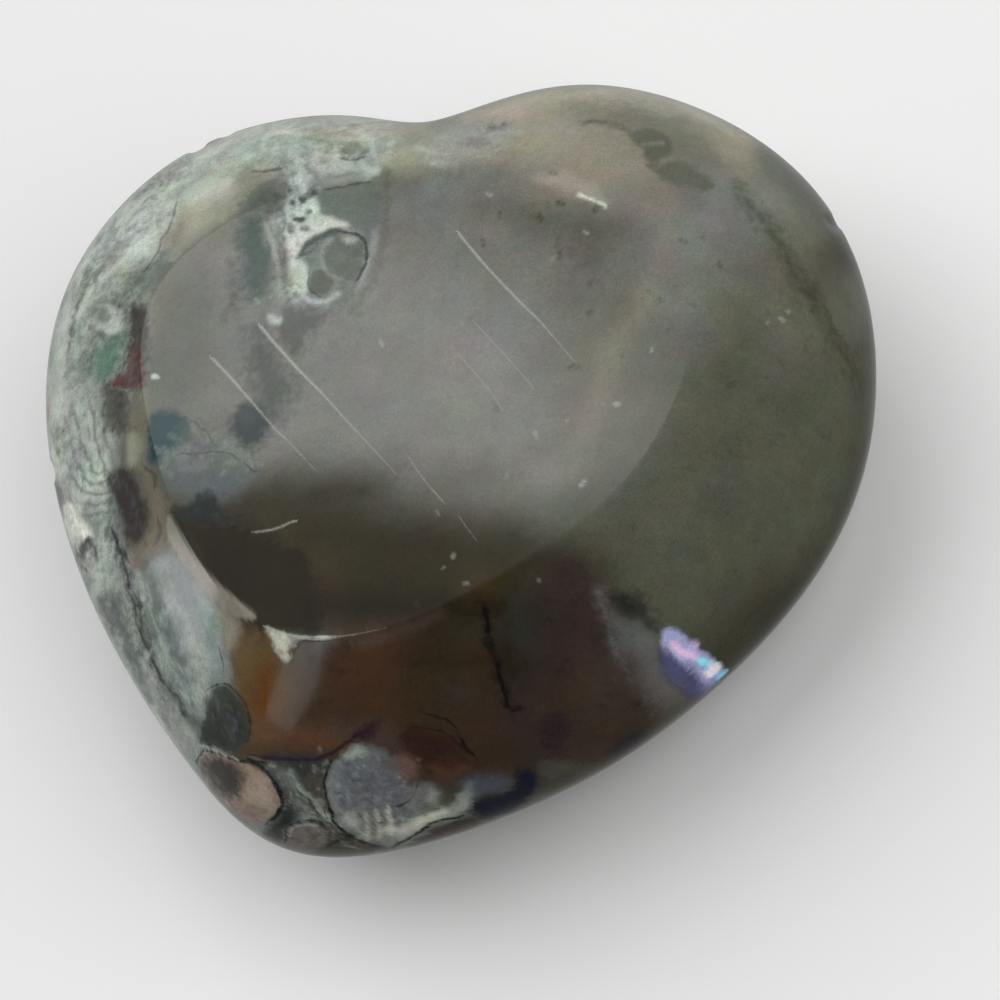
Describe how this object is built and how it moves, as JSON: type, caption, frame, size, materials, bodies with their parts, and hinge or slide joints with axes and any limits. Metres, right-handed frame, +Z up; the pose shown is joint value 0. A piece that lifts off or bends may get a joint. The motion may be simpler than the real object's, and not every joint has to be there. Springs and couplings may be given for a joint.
{
  "type": "polished fossil stone heart",
  "caption": "Palm-sized puffy heart of polished grey-green and red-brown fossil stone, with a broad flat ground on top and a small flat underneath to rest on.",
  "frame": {"origin": "centre of the plan box, on the surface the stone lies on", "axes": "+Z up from the flat underside, +Y towards the heart's notch, +X towards the fuller lobe"},
  "size_m": [0.0796, 0.073, 0.0308],
  "materials": {
    "stone": "polished"
  },
  "bodies": {
    "root": {"stone_heart": "stone"}
  },
  "joints": []
}
